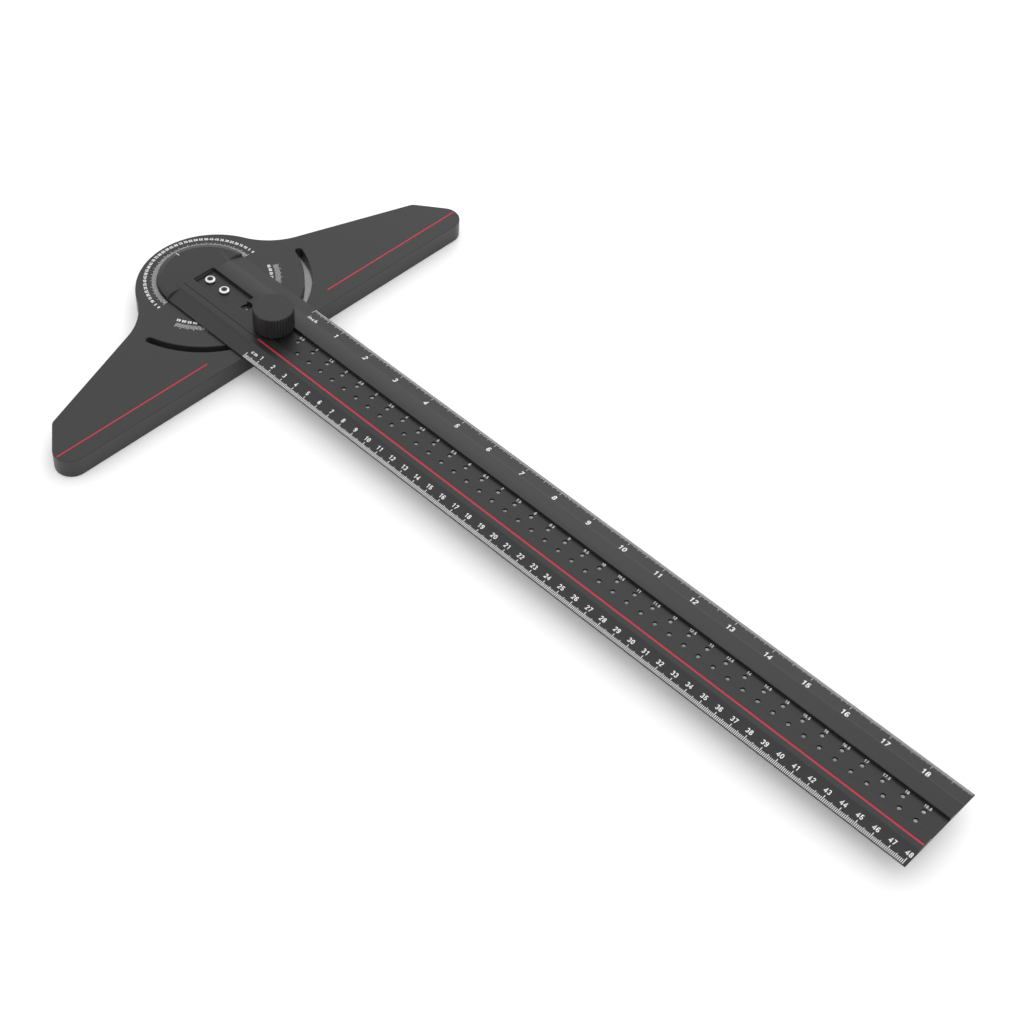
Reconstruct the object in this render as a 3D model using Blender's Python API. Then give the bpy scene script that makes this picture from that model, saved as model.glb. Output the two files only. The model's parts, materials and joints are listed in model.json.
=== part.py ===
"""Adjustable T-square: a perforated rule that turns on a T-shaped head.

The rule lies on the head, turns about a disc in the head's round lobe, and is
locked by a knurled knob whose stud runs along an arc slot.

Frame: +X along the rule to its tip, +Y to its inch edge, +Z up. X = 0 is the
fence face, Y = 0 the rule's centre line and Z = 0 the middle of the fence
face's height. Every length is in metres.
"""

import math

import bmesh
import bpy
from mathutils import Vector

GAP = 0.0003            # clearance between faces that touch on the real tool

# head
HEAD_THICK = 0.0126
PIVOT_X = -0.0670
LOBE_RADIUS = 0.0478
LOBE_REAR_X = -0.1071
LOBE_FILLET = 0.0433
REAR_BEND = (-0.0626, 0.0597)
REAR_CORNER = (-0.0335, 0.1420)
END_CORNER = (0.0, 0.1677)
REAR_CORNER_R = 0.0061
END_CORNER_R = 0.0102
HEAD_CHAMFER = 0.0005
SLOT_RADIUS = 0.0617
SLOT_WIDTH = 0.0046
SWING_DEG = 73.0
RECESS_WIDTH = 0.0074
RECESS_DEPTH = 0.0050
RECESS_DEG = 80.5

# rule
RULE_HALF = 0.0294
RULE_TIP_X = 0.4820
RULE_THICK = 0.0030
RULE_EDGE = 0.0009
CREST_Y = 0.0184
RAMP_WIDTH = 0.0021
RAMP_DROP = 0.0006
BEVEL_START_X = PIVOT_X - 0.0010
CHANNEL_HALF = 0.0078
CHANNEL_START_X = 0.0020
CHANNEL_DEPTH = 0.0020
POCKET_X = (-0.0696, -0.0326)
POCKET_DEPTH = 0.0022
WINDOW_X = -0.0300
WINDOW_R = 0.0035
PENCIL_HOLE_R = 0.0012
INCH_ROW_Y = 0.0028
CM_ROW_Y = -0.0043
HALF_INCH = 0.0127
CENTIMETRE = 0.0100

# pivot
DISC_R = 0.0210
BORE_R = 0.0230
GLIDE_R = 0.0280
GLIDE_DEPTH = 0.0010
COUNTERBORE_R = 0.0275
SHOULDER_Z = -0.0025
WASHER_THICK = 0.0008
SPRING_THICK = 0.0004
PLATE_THICK = 0.0016
SCREW_R = 0.00125
SCREW_CLEAR_R = 0.0016
SCREW_HEAD_R = 0.0030
BLADE_SCREW_HEAD_R = 0.0033
BLADE_SCREW_X = (-0.0634, -0.0504)
PLATE_SCREW_CIRCLE = 0.0150

# clamp
KNOB_R = 0.0124
KNOB_HEIGHT = 0.0145
KNOB_TEETH = 44
KNURL_DEPTH = 0.0005
STUD_R = 0.0020
STUD_HEAD_R = 0.0030
INSERT_R = 0.0042

HEAD_TOP = HEAD_THICK / 2
RULE_BOTTOM = HEAD_TOP + GAP
RULE_TOP = RULE_BOTTOM + RULE_THICK
KNOB_X = PIVOT_X + SLOT_RADIUS


# --------------------------------------------------------------- shape tools

def clear_scene():
    for obj in list(bpy.data.objects):
        bpy.data.objects.remove(obj)


def arc(centre, radius, start_deg, end_deg, steps):
    """Points of a circular arc, both ends included."""
    points = []
    for step in range(steps + 1):
        angle = math.radians(start_deg + (end_deg - start_deg) * step / steps)
        points.append((centre[0] + radius * math.cos(angle), centre[1] + radius * math.sin(angle)))
    return points


def rounded_corner(before, corner, after, radius, steps):
    """The arc that replaces a sharp convex corner between two straight edges."""
    corner = Vector(corner)
    to_before = (Vector(before) - corner).normalized()
    to_after = (Vector(after) - corner).normalized()
    half = to_before.angle(to_after) / 2
    centre = corner + (to_before + to_after).normalized() * radius / math.sin(half)
    first = corner + to_before * radius / math.tan(half) - centre
    last = corner + to_after * radius / math.tan(half) - centre
    start = math.degrees(math.atan2(first.y, first.x))
    sweep = math.degrees(first.angle_signed(last))
    return arc(centre, radius, start, start - sweep, steps)


def stacked_prism(rings):
    """A closed solid through rings of points, [(z, [(x, y), ...]), ...], lowest first."""
    mesh = bmesh.new()
    loops = [[mesh.verts.new((x, y, z)) for x, y in points] for z, points in rings]
    mesh.faces.new(list(reversed(loops[0])))
    mesh.faces.new(loops[-1])
    for lower, upper in zip(loops, loops[1:]):
        for i in range(len(lower)):
            j = (i + 1) % len(lower)
            mesh.faces.new((lower[i], lower[j], upper[j], upper[i]))
    return mesh


def inset(points, distance):
    """Move each point of an anticlockwise outline inwards by distance."""
    result = []
    for i, here in enumerate(points):
        before = Vector(points[i - 1])
        after = Vector(points[(i + 1) % len(points)])
        here = Vector(here)
        edge_in = (here - before).normalized()
        edge_out = (after - here).normalized()
        normal_in = Vector((-edge_in.y, edge_in.x))
        normal_out = Vector((-edge_out.y, edge_out.x))
        bisector = (normal_in + normal_out).normalized()
        result.append(tuple(here + bisector * distance / bisector.dot(normal_in)))
    return result


def prism(points, bottom, top):
    return stacked_prism([(bottom, points), (top, points)])


def circle(radius, segments, centre=(0.0, 0.0)):
    return arc(centre, radius, 0, 360 - 360 / segments, segments - 1)


def disc(radius, bottom, top, segments, centre=(0.0, 0.0)):
    return prism(circle(radius, segments, centre), bottom, top)


def turned(profile, segments, centre=(0.0, 0.0)):
    """Revolve an anticlockwise (radius, z) profile that stays off the axis."""
    mesh = bmesh.new()
    loops = []
    for radius, z in profile:
        loops.append([mesh.verts.new((x, y, z)) for x, y in circle(radius, segments, centre)])
    for i in range(len(profile)):
        here = loops[i]
        following = loops[(i + 1) % len(profile)]
        for k in range(segments):
            m = (k + 1) % segments
            mesh.faces.new((here[k], here[m], following[m], following[k]))
    return mesh


def ring(inner, outer, bottom, top, segments, centre=(0.0, 0.0)):
    profile = [(inner, bottom), (outer, bottom), (outer, top), (inner, top)]
    return turned(profile, segments, centre)


def turned_solid(profile, segments, centre=(0.0, 0.0)):
    """A solid of revolution from stacked (z, radius) steps, lowest first."""
    return stacked_prism([(z, circle(radius, segments, centre)) for z, radius in profile])


def merged(meshes):
    """Several closed meshes in one, for a cutter."""
    total = bmesh.new()
    for part in meshes:
        mesh = bpy.data.meshes.new("step")
        part.to_mesh(mesh)
        part.free()
        total.from_mesh(mesh)
        bpy.data.meshes.remove(mesh)
    return total


# ---------------------------------------------------------- objects, finishes

def finish(name, colour, roughness, metallic):
    material = bpy.data.materials.new(name)
    material.use_nodes = True
    shader = material.node_tree.nodes["Principled BSDF"]
    shader.inputs["Base Color"].default_value = (*colour, 1.0)
    shader.inputs["Roughness"].default_value = roughness
    shader.inputs["Metallic"].default_value = metallic
    return material


def place(name, mesh, material=None, axis=None):
    """Make an object whose origin is on its axis empty, if it has one."""
    origin = axis.matrix_world.translation if axis else Vector((0.0, 0.0, 0.0))
    bmesh.ops.translate(mesh, verts=mesh.verts, vec=-origin)
    data = bpy.data.meshes.new(name)
    mesh.to_mesh(data)
    mesh.free()
    obj = bpy.data.objects.new(name, data)
    bpy.context.scene.collection.objects.link(obj)
    obj.parent = axis
    if material:
        data.materials.append(material)
        data.shade_smooth()
        data.set_sharp_from_angle(angle=math.radians(30))
    return obj


def axis_empty(name, x, y, parent=None):
    empty = bpy.data.objects.new(name, None)
    bpy.context.scene.collection.objects.link(empty)
    start = parent.matrix_world.translation if parent else Vector((0.0, 0.0, 0.0))
    empty.location = Vector((x, y, 0.0)) - start
    empty.parent = parent
    bpy.context.view_layer.update()
    return empty


def cut(target, name, mesh, axis=None):
    """Subtract a hidden cutter from target."""
    cutter = place(name, mesh, axis=axis)
    cutter.hide_render = True
    cutter.display_type = "WIRE"
    modifier = target.modifiers.new(name, "BOOLEAN")
    modifier.operation = "DIFFERENCE"
    modifier.solver = "EXACT"
    modifier.object = cutter


# ---------------------------------------------------------------------- head

def lobe_fillet():
    """Centre of the concave arc that joins the lobe to the wing's rear edge."""
    corner = Vector(REAR_CORNER)
    along = (Vector(REAR_BEND) - corner).normalized()
    outward = Vector((along.y, -along.x))
    lobe = Vector((LOBE_REAR_X + LOBE_RADIUS, 0.0))
    start = corner + outward * LOBE_FILLET - lobe
    reach = LOBE_RADIUS + LOBE_FILLET
    half_b = start.dot(along)
    travel = -half_b - math.sqrt(half_b ** 2 - start.length_squared + reach ** 2)
    centre = corner + along * travel + outward * LOBE_FILLET
    on_lobe = lobe + (centre - lobe) * LOBE_RADIUS / reach
    on_edge = centre - outward * LOBE_FILLET
    return lobe, centre, on_lobe, on_edge


def heading(centre, point):
    return math.degrees(math.atan2(point[1] - centre[1], point[0] - centre[0]))


def head_outline():
    """The head from above, anticlockwise, from the fence's middle."""
    lobe, centre, on_lobe, on_edge = lobe_fillet()
    fence = (0.0, 0.0)
    half = rounded_corner(fence, END_CORNER, REAR_CORNER, END_CORNER_R, 7)
    half += rounded_corner(END_CORNER, REAR_CORNER, REAR_BEND, REAR_CORNER_R, 5)
    half += arc(centre, LOBE_FILLET, heading(centre, on_edge), heading(centre, on_lobe), 7)
    half += arc(lobe, LOBE_RADIUS, heading(lobe, on_lobe), 180, 14)[1:]
    mirrored = [(x, -y) for x, y in reversed(half[:-1])]
    return half + mirrored


def arc_band(radius, width, half_deg, steps):
    """A curved bar about the pivot with flat ends."""
    pivot = (PIVOT_X, 0.0)
    outer = arc(pivot, radius + width / 2, -half_deg, half_deg, steps)
    inner = arc(pivot, radius - width / 2, half_deg, -half_deg, steps)
    return outer + inner


def arc_slot(radius, width, half_deg, steps):
    """A curved slot about the pivot with round ends."""
    pivot = (PIVOT_X, 0.0)
    outer = arc(pivot, radius + width / 2, -half_deg, half_deg, steps)
    inner = arc(pivot, radius - width / 2, half_deg, -half_deg, steps)
    ends = []
    for side in (1, -1):
        angle = math.radians(side * half_deg)
        middle = (PIVOT_X + radius * math.cos(angle), radius * math.sin(angle))
        turn = side * half_deg + (0 if side == 1 else 180)
        ends.append(arc(middle, width / 2, turn, turn + 180, 6)[1:-1])
    return outer + ends[0] + inner + ends[1]


def make_head(material):
    outline = head_outline()
    pulled_in = inset(outline, HEAD_CHAMFER)
    rings = [
        (-HEAD_TOP, pulled_in),
        (-HEAD_TOP + HEAD_CHAMFER, outline),
        (HEAD_TOP - HEAD_CHAMFER, outline),
        (HEAD_TOP, pulled_in),
    ]
    head = place("head", stacked_prism(rings), material)
    pivot = (PIVOT_X, 0.0)
    over = 0.002
    bore = [
        (-HEAD_TOP - over, COUNTERBORE_R),
        (SHOULDER_Z, COUNTERBORE_R),
        (SHOULDER_Z, BORE_R),
        (HEAD_TOP - GLIDE_DEPTH, BORE_R),
        (HEAD_TOP - GLIDE_DEPTH, GLIDE_R),
        (HEAD_TOP + over, GLIDE_R),
    ]
    slot = arc_slot(SLOT_RADIUS, SLOT_WIDTH, SWING_DEG, 36)
    recess = arc_band(SLOT_RADIUS, RECESS_WIDTH, RECESS_DEG, 36)
    cut(head, "cut_bore", turned_solid(bore, 64, pivot))
    cut(head, "cut_slot", prism(slot, -HEAD_TOP - over, HEAD_TOP + over))
    cut(head, "cut_recess", prism(recess, -HEAD_TOP - over, -HEAD_TOP + RECESS_DEPTH))


# ---------------------------------------------------------------------- rule

def rule_section():
    """Half of the rule's cross-section, (y, z), from the crest to the bottom."""
    ramp_y = CREST_Y + RAMP_WIDTH
    return [
        (CREST_Y, RULE_TOP),
        (ramp_y, RULE_TOP - RAMP_DROP),
        (RULE_HALF, RULE_BOTTOM + RULE_EDGE),
    ]


def edge_cutter(side):
    """The wedge above one ruling edge, from the round end's step to past the tip."""
    over = 0.002
    section = rule_section()
    section.append((RULE_HALF + over, RULE_BOTTOM + RULE_EDGE))
    section.append((RULE_HALF + over, RULE_TOP + over))
    section.append((CREST_Y, RULE_TOP + over))
    if side < 0:
        section = [(-y, z) for y, z in reversed(section)]
    mesh = bmesh.new()
    near = [mesh.verts.new((BEVEL_START_X, y, z)) for y, z in section]
    far = [mesh.verts.new((RULE_TIP_X + over, y, z)) for y, z in section]
    mesh.faces.new(near)
    mesh.faces.new(list(reversed(far)))
    for i in range(len(section)):
        j = (i + 1) % len(section)
        mesh.faces.new((near[j], near[i], far[i], far[j]))
    bmesh.ops.recalc_face_normals(mesh, faces=mesh.faces)
    return mesh


def rectangle(x_low, x_high, y_low, y_high):
    return [(x_low, y_low), (x_high, y_low), (x_high, y_high), (x_low, y_high)]


def make_rule(material, pivot):
    centre = (PIVOT_X, 0.0)
    outline = arc(centre, RULE_HALF, 90, 270, 32)
    outline += [(RULE_TIP_X, -RULE_HALF), (RULE_TIP_X, RULE_HALF)]
    rule = place("blade", prism(outline, RULE_BOTTOM, RULE_TOP), material, pivot)
    over = 0.002
    top = RULE_TOP + over
    channel = rectangle(CHANNEL_START_X, RULE_TIP_X + over, -CHANNEL_HALF, CHANNEL_HALF)
    pocket = rectangle(POCKET_X[0], POCKET_X[1], -CHANNEL_HALF, CHANNEL_HALF)
    cut(rule, "cut_edge_inch", edge_cutter(1), pivot)
    cut(rule, "cut_edge_cm", edge_cutter(-1), pivot)
    cut(rule, "cut_channel", prism(channel, RULE_TOP - CHANNEL_DEPTH, top), pivot)
    cut(rule, "cut_pocket", prism(pocket, RULE_TOP - POCKET_DEPTH, top), pivot)

    below = RULE_BOTTOM - over
    holes = [disc(WINDOW_R, below, top, 24, (WINDOW_X, 0.0))]
    holes.append(disc(STUD_R + GAP, below, top, 20, (KNOB_X, 0.0)))
    for x in BLADE_SCREW_X:
        holes.append(disc(SCREW_CLEAR_R, below, top, 12, (x, 0.0)))
    for count in range(1, 38):
        holes.append(disc(PENCIL_HOLE_R, below, top, 8, (count * HALF_INCH, INCH_ROW_Y)))
    for count in range(2, 48):
        holes.append(disc(PENCIL_HOLE_R, below, top, 8, (count * CENTIMETRE, CM_ROW_Y)))
    cut(rule, "cut_holes", merged(holes), pivot)


# --------------------------------------------------------------------- pivot

def plate_screw_places():
    places = []
    for count in range(4):
        angle = math.radians(45 + 90 * count)
        x = PIVOT_X + PLATE_SCREW_CIRCLE * math.cos(angle)
        places.append((x, PLATE_SCREW_CIRCLE * math.sin(angle)))
    return places


def make_pivot(finishes, pivot):
    centre = (PIVOT_X, 0.0)
    washer_top = SHOULDER_Z - GAP
    spring_top = washer_top - WASHER_THICK - GAP
    plate_top = spring_top - SPRING_THICK - GAP
    plate_bottom = plate_top - PLATE_THICK
    disc_bottom = plate_top + GAP
    head_top_screw = RULE_TOP - POCKET_DEPTH + GAP
    clear = SCREW_R + GAP

    turntable = place("pivot_disc", disc(DISC_R, disc_bottom, HEAD_TOP, 64, centre),
                      finishes["pivot"], pivot)
    taps = [disc(clear, 0.0, HEAD_TOP + 0.002, 12, (x, 0.0)) for x in BLADE_SCREW_X]
    taps += [disc(clear, disc_bottom - 0.002, -0.0005, 12, spot) for spot in plate_screw_places()]
    cut(turntable, "cut_taps", merged(taps), pivot)

    liner_top = HEAD_TOP - GLIDE_DEPTH - GAP
    place("bore_liner", ring(DISC_R + GAP, BORE_R - GAP, SHOULDER_Z, liner_top, 64, centre),
          finishes["acetal"])
    glide_low = HEAD_TOP - GLIDE_DEPTH + GAP
    glide_high = HEAD_TOP + 0.0001
    place("glide_ring", ring(BORE_R, GLIDE_R - GAP, glide_low, glide_high, 64, centre),
          finishes["acetal"])
    inner = DISC_R + GAP
    outer = COUNTERBORE_R - GAP
    place("thrust_washer", ring(inner, outer, washer_top - WASHER_THICK, washer_top, 48, centre),
          finishes["acetal"])
    place("wave_spring", ring(inner, outer, spring_top - SPRING_THICK, spring_top, 48, centre),
          finishes["steel"], pivot)

    plate = place("retaining_plate", disc(outer, plate_bottom, plate_top, 64, centre),
                  finishes["steel"], pivot)
    sink_deep = plate_bottom + 0.0017
    sinks = []
    for spot in plate_screw_places():
        steps = [(plate_bottom - 0.001, SCREW_HEAD_R + GAP), (plate_bottom + 0.0002, SCREW_HEAD_R + GAP),
                 (sink_deep, clear), (plate_top + 0.001, clear)]
        sinks.append(turned_solid(steps, 16, spot))
    cut(plate, "cut_sinks", merged(sinks), pivot)
    for count, spot in enumerate(plate_screw_places(), 1):
        steps = [(plate_bottom, SCREW_HEAD_R), (plate_bottom + 0.0002, SCREW_HEAD_R),
                 (sink_deep, SCREW_R), (-0.001, SCREW_R)]
        place(f"plate_screw_{count}", turned_solid(steps, 16, spot), finishes["steel"], pivot)

    for name, x in zip(("blade_screw_rear", "blade_screw_front"), BLADE_SCREW_X):
        steps = [(0.0008, SCREW_R), (head_top_screw, SCREW_R), (head_top_screw, BLADE_SCREW_HEAD_R),
                 (head_top_screw + 0.0009, BLADE_SCREW_HEAD_R), (head_top_screw + 0.0015, 0.0025)]
        screw = place(name, turned_solid(steps, 24, (x, 0.0)), finishes["bright"], pivot)
        socket = disc(0.0010, head_top_screw + 0.0006, head_top_screw + 0.003, 6, (x, 0.0))
        cut(screw, "cut_socket_" + name, socket, pivot)


# --------------------------------------------------------------------- clamp

def knurled_circle(radius, depth):
    """A star outline, one ridge for each tooth, about the knob's axis."""
    points = []
    for count in range(KNOB_TEETH * 4):
        angle = 2 * math.pi * count / (KNOB_TEETH * 4)
        reach = radius - (depth if count % 4 in (2, 3) else 0.0)
        points.append((KNOB_X + reach * math.cos(angle), reach * math.sin(angle)))
    return points


def make_knob(finishes, knob_axis):
    centre = (KNOB_X, 0.0)
    bottom = RULE_TOP + 0.0008
    top = bottom + KNOB_HEIGHT
    chamfer = 0.0006
    rings = [
        (bottom, knurled_circle(KNOB_R - chamfer, 0.0)),
        (bottom + chamfer, knurled_circle(KNOB_R, KNURL_DEPTH)),
        (top - chamfer, knurled_circle(KNOB_R, KNURL_DEPTH)),
        (top, knurled_circle(KNOB_R - chamfer, 0.0)),
    ]
    knob = place("knob", stacked_prism(rings), finishes["knob"], knob_axis)
    insert_low = bottom + 0.0022
    insert_high = insert_low + 0.0090
    steps = [
        (bottom - 0.001, 0.0095),
        (bottom + 0.0019, 0.0095),
        (bottom + 0.0019, INSERT_R + GAP),
        (insert_high + 0.0012, INSERT_R + GAP),
    ]
    cut(knob, "cut_knob_bore", turned_solid(steps, 32, centre), knob_axis)
    place("knob_insert", ring(STUD_R + GAP, INSERT_R, insert_low, insert_high, 24, centre),
          finishes["brass"], knob_axis)
    low = RULE_TOP + GAP
    place("friction_washer", ring(STUD_R + GAP, 0.0088, low, low + 0.0008, 32, centre),
          finishes["acetal"], knob_axis)
    low += 0.0008 + GAP
    place("knob_washer", ring(STUD_R + GAP, 0.0080, low, low + 0.0010, 32, centre),
          finishes["steel"], knob_axis)
    return insert_high


def make_clamp(finishes, clamp_axis, insert_high):
    centre = (KNOB_X, 0.0)
    slider_top = -HEAD_TOP + RECESS_DEPTH - GAP
    slider_low = slider_top - 0.0022
    band = arc_band(SLOT_RADIUS, RECESS_WIDTH - 0.0008, 6.5, 8)
    slider = place("clamp_slider", prism(band, slider_low, slider_top), finishes["steel"], clamp_axis)
    bore = disc(STUD_R + GAP, slider_low - 0.001, slider_top + 0.001, 16, centre)
    cut(slider, "cut_slider_bore", bore, clamp_axis)
    head_top = slider_low - GAP
    steps = [
        (head_top - 0.0010, STUD_HEAD_R),
        (head_top, STUD_HEAD_R),
        (head_top, STUD_R),
        (insert_high - 0.0004, STUD_R),
        (insert_high, STUD_R - 0.0004),
    ]
    place("clamp_stud", turned_solid(steps, 20, centre), finishes["steel"], clamp_axis)


def main():
    clear_scene()
    finishes = {
        "head": finish("black_anodised_head", (0.070, 0.070, 0.072), 0.45, 0.3),
        "rule": finish("black_anodised_rule", (0.060, 0.060, 0.062), 0.40, 0.3),
        "knob": finish("black_knob", (0.055, 0.055, 0.057), 0.45, 0.2),
        "pivot": finish("turned_aluminium", (0.55, 0.55, 0.56), 0.35, 1.0),
        "acetal": finish("acetal", (0.75, 0.75, 0.72), 0.50, 0.0),
        "steel": finish("zinc_steel", (0.60, 0.60, 0.62), 0.35, 1.0),
        "bright": finish("nickel_steel", (0.85, 0.85, 0.86), 0.25, 1.0),
        "brass": finish("brass", (0.75, 0.55, 0.25), 0.35, 1.0),
    }
    pivot = axis_empty("pivot_axis", PIVOT_X, 0.0)
    knob_axis = axis_empty("knob_axis", KNOB_X, 0.0, pivot)
    clamp_axis = axis_empty("clamp_axis", KNOB_X, 0.0, pivot)
    make_head(finishes["head"])
    make_rule(finishes["rule"], pivot)
    make_pivot(finishes, pivot)
    insert_high = make_knob(finishes, knob_axis)
    make_clamp(finishes, clamp_axis, insert_high)


main()
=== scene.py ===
# %% [markdown]
# # An adjustable T-square, finished in Blender
#
# A T-square for joiners: a long black anodised rule lies on a T-shaped head,
# turns about the middle of the head's round lobe and is locked by a knurled
# knob. The solids and their joints come from a CAD model that is loaded first
# and never moved. This lesson rebuilds the pieces that the eye lands on, with
# fine edges, engraved lines and printed scales, and gives every piece a
# material made of nodes.

import json
import math

import bmesh
import bpy
from mathutils import Matrix, Vector


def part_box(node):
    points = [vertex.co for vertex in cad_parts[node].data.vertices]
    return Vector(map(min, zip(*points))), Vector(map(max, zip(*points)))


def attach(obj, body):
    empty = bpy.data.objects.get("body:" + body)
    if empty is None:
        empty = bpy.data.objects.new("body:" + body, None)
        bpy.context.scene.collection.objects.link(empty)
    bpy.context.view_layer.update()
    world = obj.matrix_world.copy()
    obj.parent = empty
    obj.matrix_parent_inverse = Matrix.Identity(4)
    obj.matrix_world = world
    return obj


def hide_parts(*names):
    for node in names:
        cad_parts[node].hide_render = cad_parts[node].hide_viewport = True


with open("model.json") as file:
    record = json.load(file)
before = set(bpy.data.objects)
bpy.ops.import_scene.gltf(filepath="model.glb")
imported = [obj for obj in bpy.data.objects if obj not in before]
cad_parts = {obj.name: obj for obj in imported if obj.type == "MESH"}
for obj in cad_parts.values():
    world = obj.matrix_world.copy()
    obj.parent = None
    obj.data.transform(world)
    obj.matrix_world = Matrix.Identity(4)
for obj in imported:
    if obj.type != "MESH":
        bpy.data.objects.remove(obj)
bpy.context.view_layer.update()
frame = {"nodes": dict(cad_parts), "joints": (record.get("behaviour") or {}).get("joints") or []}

# %% [markdown]
# ## Sizes
#
# The loaded solids already hold every size, so the heights and widths below
# are read from their boxes, not typed in again. X runs along the rule to its
# tip, Y to its inch edge and Z up. The fence of the head is the plane X = 0.

# %% Sizes read from the frame, and those that only the looks need
head_low, head_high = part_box("head")
rule_low, rule_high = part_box("blade")
knob_low, knob_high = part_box("knob")
swing = next(j for j in frame["joints"] if j["name"] == "blade_swing")
turn = next(j for j in frame["joints"] if j["name"] == "knob_turn")

HEAD_TOP = head_high.z
HEAD_LOW = head_low.z
RULE_TOP = rule_high.z
RULE_LOW = rule_low.z
RULE_TIP = rule_high.x
RULE_HALF = rule_high.y
PIVOT = Vector((swing["pos_m"][0], 0.0))
KNOB = Vector((turn["pos_m"][0], 0.0))
SLOT_RADIUS = KNOB.x - PIVOT.x
WIDE = 0.002            # how far a cutter reaches past the face it cuts
print(f"rule {RULE_TIP - rule_low.x:.4f} m long, slot radius {SLOT_RADIUS:.4f} m")

# %% [markdown]
# ## Shape tools
#
# Most pieces of this tool are plates: an outline seen from above, given a
# thickness. One function lofts a closed solid through a stack of outlines, so
# a rounded edge is only a few more outlines, each a little further in. Holes
# and grooves are cut with Boolean modifiers, which keep the edges exact.
# Everything that repeats along a scale is one mesh filled by a loop.

# %% Points on arcs and outlines
def arc(centre, radius, start_deg, end_deg, steps):
    """Points of a circular arc, both ends included."""
    points = []
    for step in range(steps + 1):
        angle = math.radians(start_deg + (end_deg - start_deg) * step / steps)
        points.append((centre[0] + radius * math.cos(angle), centre[1] + radius * math.sin(angle)))
    return points


def circle(radius, segments, centre=(0.0, 0.0)):
    return arc(centre, radius, 0, 360 - 360 / segments, segments - 1)


def rounded_corner(before, corner, after, radius, steps):
    """The arc that replaces a sharp corner of an anticlockwise outline."""
    corner = Vector(corner)
    to_before = (Vector(before) - corner).normalized()
    to_after = (Vector(after) - corner).normalized()
    half = to_before.angle(to_after) / 2
    centre = corner + (to_before + to_after).normalized() * radius / math.sin(half)
    first = corner + to_before * radius / math.tan(half) - centre
    last = corner + to_after * radius / math.tan(half) - centre
    start = math.degrees(math.atan2(first.y, first.x))
    return arc(centre, radius, start, start - math.degrees(first.angle_signed(last)), steps)


def rounded_box(x_low, x_high, y_low, y_high, radius):
    """A rectangle with round corners, anticlockwise."""
    corners = [(x_low, y_low), (x_high, y_low), (x_high, y_high), (x_low, y_high)]
    points = []
    for i in range(4):
        before = corners[i - 1]
        after = corners[(i + 1) % 4]
        points += rounded_corner(before, corners[i], after, radius, 5)
    return points


def inset(points, distance):
    """Move each point of an anticlockwise outline inwards by distance."""
    result = []
    for i, here in enumerate(points):
        here = Vector(here)
        edge_in = (here - Vector(points[i - 1])).normalized()
        edge_out = (Vector(points[(i + 1) % len(points)]) - here).normalized()
        normal_in = Vector((-edge_in.y, edge_in.x))
        normal_out = Vector((-edge_out.y, edge_out.x))
        bisector = (normal_in + normal_out).normalized()
        result.append(tuple(here + bisector * distance / bisector.dot(normal_in)))
    return result


# %% Solids from stacked outlines
def stacked(rings):
    """A closed solid through outlines [(z, points), ...], lowest first."""
    mesh = bmesh.new()
    loops = [[mesh.verts.new((x, y, z)) for x, y in points] for z, points in rings]
    mesh.faces.new(list(reversed(loops[0])))
    mesh.faces.new(loops[-1])
    for lower, upper in zip(loops, loops[1:]):
        for i in range(len(lower)):
            j = (i + 1) % len(lower)
            mesh.faces.new((lower[i], lower[j], upper[j], upper[i]))
    return mesh


def plate(points, low, high, edge, steps=3):
    """A plate whose top and bottom edges are rounded to the radius edge."""
    rings = []
    for step in range(steps + 1):
        angle = math.pi / 2 * step / steps
        rings.append((low + edge * (1 - math.sin(angle)), inset(points, edge * (1 - math.cos(angle)))))
    upper = [(low + high - z, ring) for z, ring in rings]
    return stacked(rings[::-1] + upper)


def turned(profile, segments, centre):
    """A solid of revolution through (z, radius) steps, lowest first."""
    return stacked([(z, circle(radius, segments, centre)) for z, radius in profile])


def flared(points, low, mouth, flare, top):
    """A cutter for a hole whose mouth at height mouth is chamfered by flare."""
    wide = inset(points, -flare)
    return stacked([(low, points), (mouth - flare, points), (mouth, wide), (top, wide)])


def merged(parts):
    """Several separate bmesh solids in one."""
    total = bmesh.new()
    for part in parts:
        mesh = bpy.data.meshes.new("step")
        part.to_mesh(mesh)
        part.free()
        total.from_mesh(mesh)
        bpy.data.meshes.remove(mesh)
    return total


def column_solid(columns, closed=False):
    """A solid from neighbouring four-cornered sections, or a closed loop of them."""
    mesh = bmesh.new()
    loops = [[mesh.verts.new(corner) for corner in column] for column in columns]
    if not closed:
        mesh.faces.new(loops[0])
        mesh.faces.new(list(reversed(loops[-1])))
    for count in range(len(loops) if closed else len(loops) - 1):
        here = loops[count]
        following = loops[(count + 1) % len(loops)]
        for i in range(4):
            j = (i + 1) % 4
            mesh.faces.new((here[j], here[i], following[i], following[j]))
    bmesh.ops.recalc_face_normals(mesh, faces=mesh.faces)
    return mesh


# %% Objects, cuts and materials on them
def make(name, mesh, material=None, sharp_deg=30):
    """Link a bmesh as an object with smooth shading and sharp edges kept."""
    data = bpy.data.meshes.new(name)
    mesh.to_mesh(data)
    mesh.free()
    obj = bpy.data.objects.new(name, data)
    bpy.context.scene.collection.objects.link(obj)
    data.shade_smooth()
    data.set_sharp_from_angle(angle=math.radians(sharp_deg))
    if material:
        data.materials.append(material)
    return obj


def level_shading(obj):
    """Let the large faces set the normals, so that flats look flat."""
    change = obj.modifiers.new("flats", "WEIGHTED_NORMAL")
    change.keep_sharp = True
    change.weight = 100


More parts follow.
